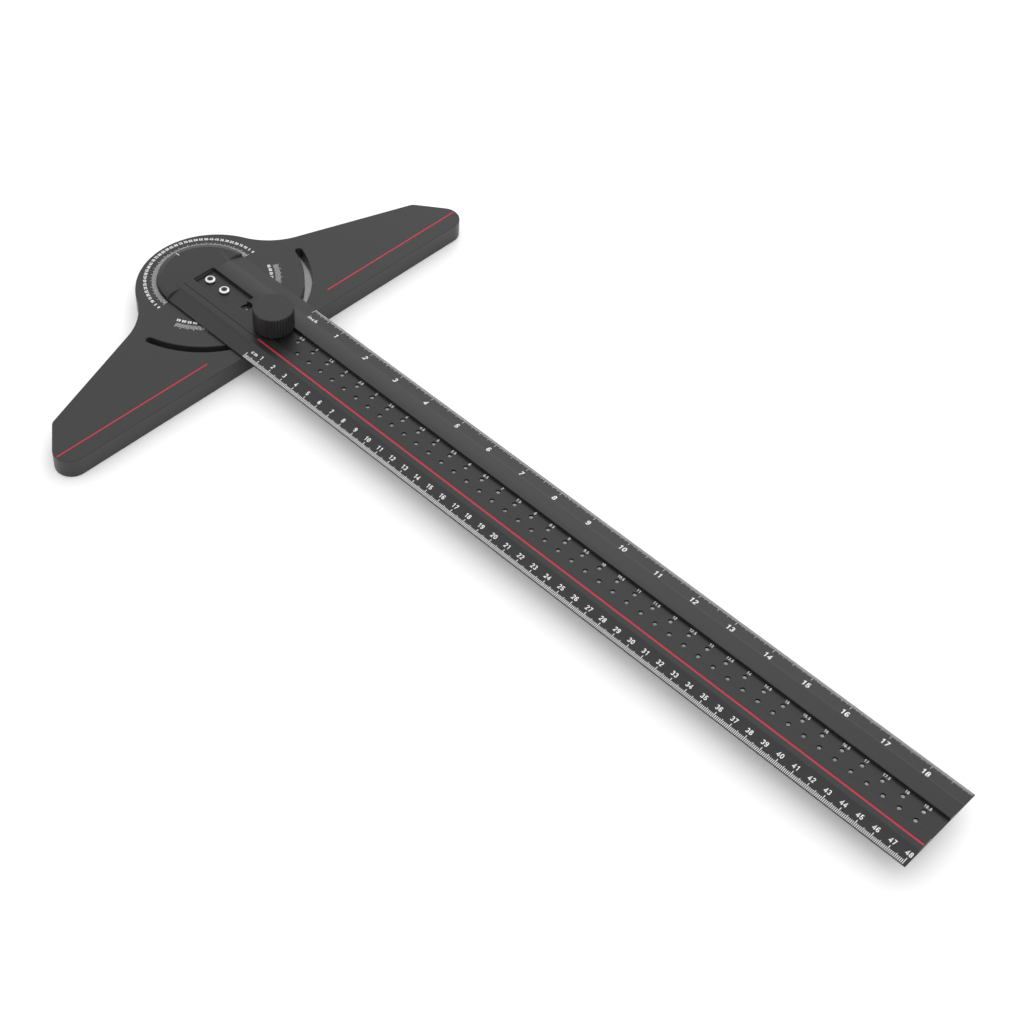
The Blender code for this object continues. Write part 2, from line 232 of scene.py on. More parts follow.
def cut_away(target, cutters, sharp_deg=30, material=None):
    """Subtract closed bmesh solids for good; material goes on the cut faces."""
    for cutter in cutters:
        tool = make("cutter", cutter, material)
        change = target.modifiers.new("cut", "BOOLEAN")
        change.operation = "DIFFERENCE"
        change.solver = "EXACT"
        change.material_mode = "TRANSFER" if material else "INDEX"
        change.object = tool
        graph = bpy.context.evaluated_depsgraph_get()
        result = bpy.data.meshes.new_from_object(target.evaluated_get(graph))
        target.modifiers.remove(change)
        old = target.data
        target.data = result
        result.name = old.name
        bpy.data.meshes.remove(old)
        bpy.data.objects.remove(tool)
    target.data.shade_smooth()
    target.data.set_sharp_from_angle(angle=math.radians(sharp_deg))
    level_shading(target)


# %% [markdown]
# ## Finishes
#
# Black anodised aluminium isn't one flat black. The oxide follows the surface
# below it, so a bead-blasted head shows an even, very fine grain and a drawn
# rule shows faint lines along its length. Both are made with Noise textures in
# object coordinates: one large and soft for the uneven dye, one tiny for the
# grain, which feeds the colour, the roughness and a shallow bump. Stretching
# the tiny one along X turns grain into drawing lines. A drilled wall is rough
# and mirrors little, so the pencil holes get a duller version. Its colour is
# also painted much darker, as shade inside the holes.

# %% A node helper, and the anodised finish
def start_material(name, roughness, metallic):
    """A new node material: returns it, its nodes, its links and its shader."""
    material = bpy.data.materials.new(name)
    material.use_nodes = True
    tree = material.node_tree
    shader = tree.nodes["Principled BSDF"]
    shader.inputs["Roughness"].default_value = roughness
    shader.inputs["Metallic"].default_value = metallic
    return material, tree.nodes, tree.links, shader


def noise(nodes, links, scale, stretch=(1.0, 1.0, 1.0), detail=3.0):
    """A Noise texture in object coordinates; scale is features per metre."""
    place = nodes.new("ShaderNodeTexCoord")
    mapping = nodes.new("ShaderNodeMapping")
    mapping.inputs["Scale"].default_value = stretch
    texture = nodes.new("ShaderNodeTexNoise")
    texture.inputs["Scale"].default_value = scale
    texture.inputs["Detail"].default_value = detail
    links.new(place.outputs["Object"], mapping.inputs["Vector"])
    links.new(mapping.outputs["Vector"], texture.inputs["Vector"])
    return texture.outputs["Fac"]


def ramp(nodes, links, source, dark, light, low=0.35, high=0.65):
    """Spread a noise value between two colours."""
    node = nodes.new("ShaderNodeValToRGB")
    node.color_ramp.elements[0].position = low
    node.color_ramp.elements[1].position = high
    node.color_ramp.elements[0].color = (*dark, 1.0)
    node.color_ramp.elements[1].color = (*light, 1.0)
    links.new(source, node.inputs["Fac"])
    return node.outputs["Color"]


def spread(nodes, links, source, low, high):
    """Map a 0 to 1 value to a range of numbers."""
    node = nodes.new("ShaderNodeMapRange")
    node.inputs["From Min"].default_value = 0.3
    node.inputs["From Max"].default_value = 0.7
    node.inputs["To Min"].default_value = low
    node.inputs["To Max"].default_value = high
    links.new(source, node.inputs["Value"])
    return node.outputs["Result"]


def bump(nodes, links, source, depth, shader):
    """Raise the surface by a noise value, to depth metres."""
    node = nodes.new("ShaderNodeBump")
    node.inputs["Strength"].default_value = 1.0
    node.inputs["Distance"].default_value = depth
    links.new(source, node.inputs["Height"])
    links.new(node.outputs["Normal"], shader.inputs["Normal"])


def blended(nodes, links, first, second, factor):
    """Mix two colours by a number."""
    node = nodes.new("ShaderNodeMix")
    node.data_type = "RGBA"
    node.inputs["Factor"].default_value = factor
    links.new(first, node.inputs["A"])
    links.new(second, node.inputs["B"])
    return node.outputs["Result"]


def anodised(name, tone, roughness, grain_scale, stretch=(1.0, 1.0, 1.0), depth=0.000003, gloss=0.45):
    """Black anodised aluminium over a blasted, drawn or drilled surface; the drilled one's darker tone is
    painted shade.
    """
    material, nodes, links, shader = start_material(name, roughness, 0.0)
    shader.inputs["Specular IOR Level"].default_value = gloss
    cloud = noise(nodes, links, 22.0, detail=2.0)
    grain = noise(nodes, links, grain_scale, stretch)
    soft = ramp(nodes, links, cloud, (tone * 0.94,) * 3, (tone * 1.06, tone * 1.06, tone * 1.08))
    fine = ramp(nodes, links, grain, (tone * 0.80,) * 3, (tone * 1.20, tone * 1.20, tone * 1.22))
    links.new(blended(nodes, links, soft, fine, 0.5), shader.inputs["Base Color"])
    links.new(spread(nodes, links, grain, roughness - 0.03, roughness + 0.03), shader.inputs["Roughness"])
    bump(nodes, links, grain, depth, shader)
    return material


# %% [markdown]
# The marks are white ink burnt or printed into the oxide, and the long lines
# are red enamel wiped into a groove. Ink is thin and matt, enamel is thicker
# and a little glossy. Screws and washers are plated steel, with fine turning
# lines round the axis or a blotchy zinc bloom.

# %% Ink, enamel, metals and plastic
def ink(name, colour, roughness):
    material, nodes, links, shader = start_material(name, roughness, 0.0)
    speck = noise(nodes, links, 5200.0)
    worn = tuple(c * 0.88 for c in colour)
    links.new(ramp(nodes, links, speck, worn, colour), shader.inputs["Base Color"])
    links.new(spread(nodes, links, speck, roughness - 0.05, roughness + 0.1), shader.inputs["Roughness"])
    bump(nodes, links, speck, 0.000004, shader)
    return material


def plated(name, colour, roughness, scale, stretch=(1.0, 1.0, 1.0)):
    material, nodes, links, shader = start_material(name, roughness, 1.0)
    bloom = noise(nodes, links, scale, stretch)
    dull = tuple(c * 0.80 for c in colour)
    links.new(ramp(nodes, links, bloom, dull, colour), shader.inputs["Base Color"])
    links.new(spread(nodes, links, bloom, roughness - 0.06, roughness + 0.10), shader.inputs["Roughness"])
    bump(nodes, links, bloom, 0.000005, shader)
    return material


def moulded(name, colour, roughness):
    material, nodes, links, shader = start_material(name, roughness, 0.0)
    shader.inputs["Subsurface Weight"].default_value = 0.05
    shader.inputs["Subsurface Scale"].default_value = 0.0005
    cloud = noise(nodes, links, 900.0)
    shade = tuple(c * 0.88 for c in colour)
    links.new(ramp(nodes, links, cloud, shade, colour), shader.inputs["Base Color"])
    links.new(spread(nodes, links, cloud, roughness - 0.05, roughness + 0.05), shader.inputs["Roughness"])
    bump(nodes, links, cloud, 0.000006, shader)
    return material


HEAD_BLACK = anodised("head_anodised", 0.0205, 0.40, 5200.0)
RULE_BLACK = anodised("rule_anodised", 0.0140, 0.36, 4200.0, stretch=(0.12, 1.0, 1.0), depth=0.000001)
# Pencil-hole walls: duller, and painted darker as shade inside the holes.
DRILLED_SHADE_BLACK = anodised("drilled_anodised_painted_shade", 0.0060, 0.75, 5200.0, gloss=0.12)
KNOB_BLACK = anodised("knob_anodised", 0.019, 0.42, 5200.0)
WHITE_INK = ink("white_ink", (0.92, 0.92, 0.92), 0.6)
RED_ENAMEL = ink("red_enamel", (0.50, 0.012, 0.042), 0.50)
NICKEL = plated("nickel_plate", (0.86, 0.86, 0.87), 0.24, 2600.0)
ZINC = plated("zinc_plate", (0.56, 0.57, 0.60), 0.36, 700.0)
TURNED = plated("turned_aluminium", (0.62, 0.62, 0.64), 0.34, 1500.0, stretch=(1.0, 1.0, 9.0))
# Near-black steel for the pan heads' dish and cross recess: painted shade.
RECESS_SHADE_STEEL = plated("recess_painted_shade_steel", (0.10, 0.10, 0.11), 0.45, 1500.0)
BRASS = plated("turned_brass", (0.74, 0.52, 0.22), 0.32, 1500.0, stretch=(1.0, 1.0, 9.0))
ACETAL = moulded("white_acetal", (0.72, 0.72, 0.69), 0.45)
print("materials:", len(bpy.data.materials))

# %% [markdown]
# ## The head
#
# The real head is one aluminium plate cut to shape on a mill: two wings, a
# round lobe for the protractor, and the straight fence that rides on the
# board. The rear edge of each wing runs into the lobe through a hollow curve.
# Its centre is worked out, so that the arc meets the lobe and the straight
# edge without a kink. The curved slot is swept about the pivot, because the
# knob's stud follows it, and its mouth is chamfered as a mill would leave it.

# %% The head's outline
LOBE_RADIUS = 0.0478
LOBE_FILLET = 0.0433
REAR_BEND = (-0.0626, 0.0597)
REAR_CORNER = (-0.0335, 0.1420)
END_CORNER = (0.0, 0.1677)
REAR_CORNER_R = 0.0061
END_CORNER_R = 0.0102
SLOT_WIDTH = 0.0046
RECESS_WIDTH = 0.0074
RECESS_DEPTH = 0.0050
RECESS_DEG = 80.5
BORE_R = 0.0230
GLIDE_R = 0.0280
GLIDE_DEPTH = 0.0010
COUNTERBORE_R = 0.0275
SHOULDER_Z = -0.0025


def heading(centre, point):
    return math.degrees(math.atan2(point[1] - centre[1], point[0] - centre[0]))


def head_outline():
    """The head from above, anticlockwise, from the fence's right end."""
    lobe = Vector((head_low.x + LOBE_RADIUS, 0.0))
    corner = Vector(REAR_CORNER)
    along = (Vector(REAR_BEND) - corner).normalized()
    outward = Vector((along.y, -along.x))
    start = corner + outward * LOBE_FILLET - lobe
    reach = LOBE_RADIUS + LOBE_FILLET
    half_b = start.dot(along)
    travel = -half_b - math.sqrt(half_b ** 2 - start.length_squared + reach ** 2)
    hollow = corner + along * travel + outward * LOBE_FILLET
    on_lobe = lobe + (hollow - lobe) * LOBE_RADIUS / reach
    on_edge = hollow - outward * LOBE_FILLET
    half = rounded_corner((0.0, 0.0), END_CORNER, REAR_CORNER, END_CORNER_R, 18)
    half += rounded_corner(END_CORNER, REAR_CORNER, REAR_BEND, REAR_CORNER_R, 12)
    half += arc(hollow, LOBE_FILLET, heading(hollow, on_edge), heading(hollow, on_lobe), 24)
    half += arc(lobe, LOBE_RADIUS, heading(lobe, on_lobe), 180, 48)[1:]
    return half + [(x, -y) for x, y in reversed(half[:-1])]


def arc_slot(radius, width, half_deg, steps):
    """A curved slot about the pivot with round ends, anticlockwise."""
    outline = arc(PIVOT, radius + width / 2, -half_deg, half_deg, steps)
    for side in (1, -1):
        angle = math.radians(side * half_deg)
        middle = (PIVOT.x + radius * math.cos(angle), radius * math.sin(angle))
        turn_from = side * half_deg + (0 if side == 1 else 180)
        outline += arc(middle, width / 2, turn_from, turn_from + 180, 10)[1:-1]
        if side == 1:
            outline += arc(PIVOT, radius - width / 2, half_deg, -half_deg, steps)
    return outline


def arc_band(radius, width, half_deg, steps):
    """A curved bar about the pivot with flat ends, anticlockwise."""
    outer = arc(PIVOT, radius + width / 2, -half_deg, half_deg, steps)
    return outer + arc(PIVOT, radius - width / 2, half_deg, -half_deg, steps)


# %% Cut the head
LINE_X = -0.0103
LINE_WIDTH = 0.0010
LINE_START_Y = 0.0476
LINE_END_Y = 0.1566
GROOVE_END_Y = 0.162    # past the wing's end, so that the groove runs out
GROOVE_DEPTH = 0.00022
INLAY_SLACK = 0.00003
HEAD_INLAY_SINK = 0.00006
HEAD_EDGE_R = 0.0006
SLOT_FLARE = 0.0003


def bar(x_low, x_high, y_low, y_high, low, high):
    """A plain box, for cutters and inlays."""
    return stacked([(z, [(x_low, y_low), (x_high, y_low), (x_high, y_high), (x_low, y_high)])
                    for z in (low, high)])


def make_head():
    head = make("head_plate", plate(head_outline(), HEAD_LOW, HEAD_TOP, HEAD_EDGE_R, 4), HEAD_BLACK)
    bore = turned([
        (HEAD_LOW - WIDE, COUNTERBORE_R), (SHOULDER_Z, COUNTERBORE_R), (SHOULDER_Z, BORE_R),
        (HEAD_TOP - GLIDE_DEPTH, BORE_R), (HEAD_TOP - GLIDE_DEPTH, GLIDE_R), (HEAD_TOP + WIDE, GLIDE_R),
    ], 128, PIVOT)
    slot_half = swing["range_deg"][1]
    slot = arc_slot(SLOT_RADIUS, SLOT_WIDTH, slot_half, 72)
    recess = arc_band(SLOT_RADIUS, RECESS_WIDTH, RECESS_DEG, 72)
    cutters = [bore, flared(slot, HEAD_LOW - WIDE, HEAD_TOP, SLOT_FLARE, HEAD_TOP + WIDE)]
    cutters.append(stacked([(HEAD_LOW - WIDE, recess), (HEAD_LOW + RECESS_DEPTH, recess)]))
    x_low = LINE_X - LINE_WIDTH / 2
    x_high = LINE_X + LINE_WIDTH / 2
    floor = HEAD_TOP - GROOVE_DEPTH
    for low, high in ((LINE_START_Y, GROOVE_END_Y), (-GROOVE_END_Y, -LINE_START_Y)):
        cutters.append(bar(x_low, x_high, low, high, floor, HEAD_TOP + WIDE))
    cut_away(head, cutters)
    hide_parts("head")
    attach(head, "head")
    for name, side in (("head_line_inch_side", 1), ("head_line_cm_side", -1)):
        ends = sorted((side * LINE_START_Y, side * LINE_END_Y))
        slack = INLAY_SLACK
        inlay = bar(x_low + slack, x_high - slack, *ends, floor - slack, HEAD_TOP - HEAD_INLAY_SINK)
        line = make(name, inlay, RED_ENAMEL)
        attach(line, "head")
    return head


head_plate = make_head()
print("head faces:", len(head_plate.data.polygons))

# %% [markdown]
# ## The protractor scales
#
# Numbers and ticks are laser marked, so they have no real height. Here each
# one is a very thin solid that stands a few hundredths of a millimetre proud,
# which renders cleanly and moves with its plate. The digits are drawn as an
# engraver draws them, with a few strokes of one even width: straight lines and
# parts of ovals. That keeps them bold at two millimetres, and the same strokes
# serve every scale. All the marks of one scale are joined into one piece.

# %% Strokes of the digits, for a height of one
def bow(x, y, across, up, start_deg, end_deg, steps=10):
    """Part of an oval, as a line of points."""
    return [(x + across * px, y + up * py) for px, py in arc((0.0, 0.0), 1.0, start_deg, end_deg, steps)]


def oval(x, y, across, up):
    return bow(x, y, across, up, 0, 360, 20)


def half_turned(strokes, width):
    """A six read upside down is a nine."""
    return [[(width - x, 1.0 - y) for x, y in line] for line in strokes]


SIX = [oval(0.28, 0.29, 0.21, 0.22), bow(0.29, 0.50, 0.22, 0.43, 190, 42)]
STEM = [(0.10, 0.0), (0.10, 0.53)]
ARCH = bow(0.28, 0.31, 0.18, 0.17, 180, 0) + [(0.46, 0.0)]
STROKES = {
    "0": (0.56, [oval(0.28, 0.50, 0.21, 0.43)]),
    "1": (0.56, [[(0.12, 0.74), (0.36, 0.93), (0.36, 0.0)]]),
    "2": (0.56, [bow(0.28, 0.70, 0.20, 0.23, 168, -38) + [(0.09, 0.07), (0.50, 0.07)]]),
    "3": (0.56, [bow(0.27, 0.715, 0.19, 0.215, 160, -90) + bow(0.27, 0.285, 0.21, 0.215, 90, -160)]),
    "4": (0.56, [[(0.40, 0.0), (0.40, 0.93), (0.06, 0.28), (0.55, 0.28)]]),
    "5": (0.56, [[(0.47, 0.93), (0.15, 0.93), (0.10, 0.47)] + bow(0.27, 0.31, 0.21, 0.24, 128, -155)]),
    "6": (0.56, SIX),
    "7": (0.56, [[(0.06, 0.93), (0.48, 0.93), (0.22, 0.0)]]),
    "8": (0.56, [oval(0.28, 0.715, 0.175, 0.215), oval(0.28, 0.28, 0.21, 0.215)]),
    "9": (0.56, half_turned(SIX, 0.56)),
    ".": (0.22, [[(0.11, 0.0), (0.11, 0.16)]]),
    "c": (0.50, [bow(0.27, 0.27, 0.19, 0.21, 50, 310)]),
    "m": (0.78, [STEM, bow(0.24, 0.32, 0.14, 0.16, 180, 0, 6) + [(0.38, 0.0)],
                 bow(0.52, 0.32, 0.14, 0.16, 180, 0, 6) + [(0.66, 0.0)]]),
    "i": (0.22, [[(0.11, 0.0), (0.11, 0.53)], [(0.11, 0.74), (0.11, 0.90)]]),
    "n": (0.56, [STEM, ARCH]),
    "h": (0.56, [[(0.10, 0.0), (0.10, 0.93)], ARCH]),
}
MARK_LIFT = 0.00003
MARK_DEEP = 0.00005
LETTER_SPACE = 0.12


def ribbon(points, width):
    """A flat band of even width that follows a line, closed if its ends meet."""
    line = [Vector(point) for point in points]
    closed = (line[0] - line[-1]).length < 1e-6
    if closed:
        line.pop()
    columns = []
    for i, here in enumerate(line):
        before = line[i - 1] if closed or i else here
        after = line[(i + 1) % len(line)] if closed or i < len(line) - 1 else here
        into = (here - before).normalized() if before is not here else (after - here).normalized()
        out = (after - here).normalized() if after is not here else into
        along = (into + out).normalized()
        side = Vector((-along.y, along.x)) * width / 2
        side *= min(1.8, 1.0 / max(0.3, along.dot(into)))
        left = here + side
        right = here - side
        columns.append([(*right, -MARK_DEEP), (*left, -MARK_DEEP), (*left, MARK_LIFT), (*right, MARK_LIFT)])
    return column_solid(columns, closed)


def glyphs(body, height, stroke=0.16, widen=1.12):
    """A short text of even strokes, centred on its origin, lying flat."""
    pen = -LETTER_SPACE / 2
    bands = []
    for letter in body:
        advance, lines = STROKES[letter]
        pen += LETTER_SPACE / 2
        for line in lines:
            bands.append([((pen + x) * widen * height, (y - 0.5) * height) for x, y in line])
        pen += advance + LETTER_SPACE / 2
    middle = (pen - LETTER_SPACE / 2) * widen * height / 2
    return merged([ribbon([(x - middle, y) for x, y in band], stroke * height) for band in bands])


# %% Placing marks
def placed(mesh, x, y, turn_deg=0.0):
    """Turn a flat mark about Z and move it to x, y."""
    matrix = Matrix.Translation((x, y, 0.0)) @ Matrix.Rotation(math.radians(turn_deg), 4, "Z")
    bmesh.ops.transform(mesh, matrix=matrix, verts=mesh.verts)
    return mesh


def tick(x, y, turn_deg, length, width):
    """A stroke that starts at x, y and runs along the direction turn_deg."""
    mark = bar(0.0, length, -width / 2, width / 2, -MARK_DEEP, MARK_LIFT)
    return placed(mark, x, y, turn_deg)


def raised(mesh, height):
    """Lift marks onto a surface; height gives z for a place x, y."""
    for vert in mesh.verts:
        vert.co.z += height(vert.co.x, vert.co.y)
    return mesh


def head_height(x, y):
    """The head's top is flat, so every place on it has one height."""
    return HEAD_TOP


def polar(radius, angle_deg):
    angle = math.radians(angle_deg)
    return PIVOT.x + radius * math.cos(angle), PIVOT.y + radius * math.sin(angle)


# %% The two protractor scales on the head
REAR_TICKS = (0.0303, {1: 0.0027, 5: 0.0033, 10: 0.0038})
REAR_TICK_WIDTH = 0.00013
REAR_DIGITS_R = 0.0372
FRONT_TICKS = (0.0418, {1: 0.0032, 5: 0.0038, 10: 0.0043})
FRONT_TICK_WIDTH = 0.00015
FRONT_DIGITS_R = 0.0394
DIAL_DIGIT = 0.0019
DIAL_STROKE = 0.20
INDEX_R = 0.0367
INDEX_LENGTH = 0.0018
INDEX_WIDTH = 0.0006


def step_of(count, steps):
    """The largest step that divides count."""
    return max(step for step in steps if count % step == 0)


def dial(name, middle_deg, half_deg, ticks, width, digits_r, number_at):
    """One scale: a tick each degree and a number every five."""
    start_r, lengths = ticks
    marks = []
    numbers = []
    for degree in range(-half_deg, half_deg + 1):
        angle = middle_deg + degree
        x, y = polar(start_r, angle)
        marks.append(tick(x, y, angle, lengths[step_of(degree, lengths)], width))
        if degree % 5 == 0:
            x, y = polar(digits_r, angle)
            digits = glyphs(str(number_at(abs(degree))), DIAL_DIGIT, DIAL_STROKE, 1.0)
            numbers.append(placed(digits, x, y, angle - 90))
    for kind, parts in (("ticks", marks), ("digits", numbers)):
        piece = make(f"{name}_{kind}", raised(merged(parts), head_height), WHITE_INK)
        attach(piece, "head")


dial("rear_dial", 180, 90, REAR_TICKS, REAR_TICK_WIDTH, REAR_DIGITS_R, lambda degree: 90 - degree)
dial("front_dial", 0, 65, FRONT_TICKS, FRONT_TICK_WIDTH, FRONT_DIGITS_R, lambda degree: degree)
index = tick(*polar(INDEX_R, 0), 0, INDEX_LENGTH, INDEX_WIDTH)
window_index = make("window_index", raised(index, head_height), WHITE_INK)
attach(window_index, "head")
print("dials made")

# %% [markdown]
# ## The rule
#
# The real rule is an aluminium extrusion: two raised bands, a sunk channel
# between them, and edges that slope down to under a millimetre, so that a
# pencil on the edge lies close to the scale. The far end is milled round,
# with a broad bevel. It could be one profile swept along X, but the round end,
# the pocket and the holes change it everywhere, so it is cut from a plate in
# the same order as in the workshop.

# %% The rule's section and its cutters
CREST_Y = 0.0184
RAMP_WIDTH = 0.0021
RAMP_DROP = 0.0006
SLOPE_REACH = 0.0109    # from the ramp's foot to past the rule's edge
RULE_EDGE = 0.0009
BEVEL_START_X = PIVOT.x - 0.0010
ROUND_BEVEL = 0.0030
ROUND_DROP = 0.0009
CHANNEL_HALF = 0.0078
CHANNEL_START_X = 0.0020
CHANNEL_DEPTH = 0.0020
POCKET_X = (-0.0696, -0.0326)
POCKET_DEPTH = 0.0022
WINDOW = (-0.0300, 0.0)
WINDOW_R = 0.0035
HOLE_R = 0.0012
HOLE_FLARE = 0.00025
HALF_INCH = 0.0127
INCH_ROW_Y = 0.0028
CM_ROW_Y = -0.0043
RED_Y = -0.0143
RED_WIDTH = 0.0012
RED_START_X = -0.0035
RED_INLAY_SINK = 0.00008
THIN_LINE_START_X = -0.071
THIN_LINE_HALF = 0.00025
RULE_GROOVE_DEPTH = 0.00025
FADE_LENGTH = 0.0150
FADE_WIDTH = 0.0007
FADE_DROP = 0.00022
FADE_OVERLAP = 0.0005
WALL_FLARE = 0.0002
WINDOW_FLARE = 0.00025
POCKET_CORNER_R = 0.0006
STUD_HOLE_R = 0.0023
SCREW_HOLE_R = 0.0016
TIP_CHAMFER = 0.0003


def rule_height(x, y):
    """The height of the rule's top face, away from pocket, holes and round end."""
    across = abs(y)
    if across < CHANNEL_HALF and x > CHANNEL_START_X:
        return RULE_TOP - CHANNEL_DEPTH
    if across <= CREST_Y or x < BEVEL_START_X:
        return RULE_TOP
    if across <= CREST_Y + RAMP_WIDTH:
        return RULE_TOP - RAMP_DROP * (across - CREST_Y) / RAMP_WIDTH
    slope = (across - CREST_Y - RAMP_WIDTH) / (RULE_HALF - CREST_Y - RAMP_WIDTH)
    low = RULE_LOW + RULE_EDGE
    return RULE_TOP - RAMP_DROP + (low - RULE_TOP + RAMP_DROP) * slope


def edge_cutter(side):
    """What is milled off above one sloping edge; its end is a shallow curve."""
    bulge = 0.0010
    far = RULE_TIP + WIDE
    columns = []
    stations = [CREST_Y + RAMP_WIDTH * i / 3 for i in range(4)]
    stations += [CREST_Y + RAMP_WIDTH + SLOPE_REACH * i / 8 for i in range(1, 9)]
    for across in stations:
        part = (across - CREST_Y) / (RULE_HALF - CREST_Y)
        near = BEVEL_START_X + bulge * (2 * part - 1) ** 2 - bulge
        low = rule_height(0.0, across)
        top = RULE_TOP + WIDE
        y = side * across
        columns.append([(near, y, low), (far, y, low), (far, y, top), (near, y, top)])
    return column_solid(columns)


def shallow_ramp(side):
    """The faint shoulder that runs on into the round end and fades out."""
    fade_x = PIVOT.x - FADE_LENGTH
    end_x = BEVEL_START_X + FADE_OVERLAP
    top = RULE_TOP + WIDE
    columns = []
    for across, deep in ((CREST_Y, 0.0), (CREST_Y + FADE_WIDTH, FADE_DROP), (RULE_HALF + WIDE, FADE_DROP)):
        y = side * across
        low = RULE_TOP - deep
        columns.append([(fade_x, y, RULE_TOP), (end_x, y, low), (end_x, y, top), (fade_x, y, top)])
    return column_solid(columns)


def round_bevel():
    """The ring milled off the round end's upper edge."""
    inner = RULE_HALF - ROUND_BEVEL
    outer = RULE_HALF + WIDE
    low = RULE_TOP - ROUND_DROP * (ROUND_BEVEL + WIDE) / ROUND_BEVEL
    top = RULE_TOP + WIDE
    corners = [(inner, RULE_TOP), (outer, low), (outer, top), (inner, top)]
    columns = []
    for step in range(65):
        angle = 90 + 180 * step / 64
        columns.append([(*polar(radius, angle), z) for radius, z in corners])
    return column_solid(columns)


def tip_chamfer():
    """The small chamfer along the upper edge of the tip's raised bands."""
    reach = RULE_HALF + WIDE
    near = RULE_TIP - TIP_CHAMFER
    far = RULE_TIP + TIP_CHAMFER
    low = RULE_TOP - 2 * TIP_CHAMFER
    top = RULE_TOP + WIDE
    return column_solid([[(near, y, RULE_TOP), (far, y, low), (far, y, top), (near, y, top)]
                         for y in (-reach, reach)])


# %% Mill the rule
def pencil_holes():
    """Cutters for the two rows of pencil holes, with a drilled chamfer."""
    channel = RULE_TOP - CHANNEL_DEPTH
    places = [(count * HALF_INCH, INCH_ROW_Y) for count in range(1, 38)]
    places += [(count * 0.01, CM_ROW_Y) for count in range(2, 48)]
    return merged([flared(circle(HOLE_R, 20, place), RULE_LOW - WIDE, channel, HOLE_FLARE, RULE_TOP + WIDE)
                   for place in places])


def rule_holes():
    """Cutters for the window, and the stud and screw holes."""
    low = RULE_LOW - WIDE
    top = RULE_TOP + WIDE
    cutters = [flared(circle(WINDOW_R, 48, WINDOW), low, RULE_TOP, WINDOW_FLARE, top)]
    cutters.append(stacked([(z, circle(STUD_HOLE_R, 24, KNOB)) for z in (low, top)]))
    for name in ("blade_screw_rear", "blade_screw_front"):
        box_low, box_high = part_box(name)
        middle = (box_low + box_high) / 2
        cutters.append(stacked([(z, circle(SCREW_HOLE_R, 24, middle)) for z in (low, top)]))
    return merged(cutters)


def make_rule():
    outline = arc(PIVOT, RULE_HALF, 90, 270, 128)
    outline += [(RULE_TIP, -RULE_HALF), (RULE_TIP, RULE_HALF)]
    rule = make("rule_bar", stacked([(RULE_LOW, outline), (RULE_TOP, outline)]), RULE_BLACK)
    channel = [(CHANNEL_START_X, -CHANNEL_HALF), (RULE_TIP + WIDE, -CHANNEL_HALF),
               (RULE_TIP + WIDE, CHANNEL_HALF), (CHANNEL_START_X, CHANNEL_HALF)]
    pocket = rounded_box(*POCKET_X, -CHANNEL_HALF, CHANNEL_HALF, POCKET_CORNER_R)
    top = RULE_TOP + WIDE
    groove_low = RULE_TOP - RULE_GROOVE_DEPTH
    cutters = [round_bevel()]
    for side in (1, -1):
        cutters.append(edge_cutter(side))
        cutters.append(shallow_ramp(side))
    cutters.append(flared(channel, RULE_TOP - CHANNEL_DEPTH, RULE_TOP, WALL_FLARE, top))
    cutters.append(flared(pocket, RULE_TOP - POCKET_DEPTH, RULE_TOP, WALL_FLARE, top))
    cutters.append(bar(THIN_LINE_START_X, RED_START_X, RED_Y - THIN_LINE_HALF, RED_Y + THIN_LINE_HALF,
                       groove_low, top))
    cutters.append(bar(RED_START_X, RULE_TIP + WIDE, RED_Y - RED_WIDTH / 2, RED_Y + RED_WIDTH / 2,
                       groove_low, top))
    cutters.append(tip_chamfer())
    cutters.append(rule_holes())
    cut_away(rule, cutters, sharp_deg=18)
    # The hole walls take the darker black: painted shade inside the pencil holes.
    cut_away(rule, [pencil_holes()], sharp_deg=18, material=DRILLED_SHADE_BLACK)
    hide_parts("blade")
    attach(rule, "blade")
    slack = INLAY_SLACK
    half = RED_WIDTH / 2 - slack
    inlay = bar(RED_START_X + slack, RULE_TIP - TIP_CHAMFER, RED_Y - half, RED_Y + half,
                groove_low - slack, RULE_TOP - RED_INLAY_SINK)
    line = make("rule_red_line", inlay, RED_ENAMEL)
    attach(line, "blade")
    return rule


rule_bar = make_rule()
print("rule faces:", len(rule_bar.data.polygons))

# %% [markdown]
# ## The rule's scales
#
# The centimetre scale starts at the fence and has a tick each millimetre on
# the near edge. The inch scale has a tick each thirty-second of an inch on the
# far edge. The marks lie on sloping faces, so each vertex is lifted to the
# height of the rule below it. The small numbers in the channel give each
# pencil hole's distance from the fence.

# %% Ticks and numbers of both edges
CM_TICKS = {1: 0.0023, 5: 0.0029, 10: 0.0038}
INCH_TICKS = {1: 0.0013, 2: 0.0017, 4: 0.0022, 8: 0.0026, 16: 0.0030, 32: 0.0036}
CM_DIGIT_Y = -0.0228
CM_DIGIT_SHIFT = -0.0005
INCH_DIGIT_Y = 0.0215
EDGE_GAP = 0.0002
CM_TICK_WIDTH = 0.00036
INCH_TICK_WIDTH = 0.00020
CM_DIGIT = 0.0028
INCH_DIGIT = 0.0036
UNIT_WORD = 0.0030
HOLE_DIGIT = 0.0018
HOLE_DIGIT_Y = 0.0062


def edge_scale(name, side, pitch, count, lengths, width):
    """The ticks along one edge, drawn inwards from it."""
    marks = []
    for number in range(count + 1):
        length = lengths[step_of(number, lengths)]
        start = side * (RULE_HALF - EDGE_GAP)
        marks.append(tick(number * pitch, start, -side * 90, length, width))
    piece = make(name, raised(merged(marks), rule_height), WHITE_INK)
    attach(piece, "blade")


def number_row(name, labels, size):
    """Numbers at given places: [(text, x, y), ...]."""
    parts = [placed(glyphs(text, size), x, y) for text, x, y in labels]
    piece = make(name, raised(merged(parts), rule_height), WHITE_INK)
    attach(piece, "blade")


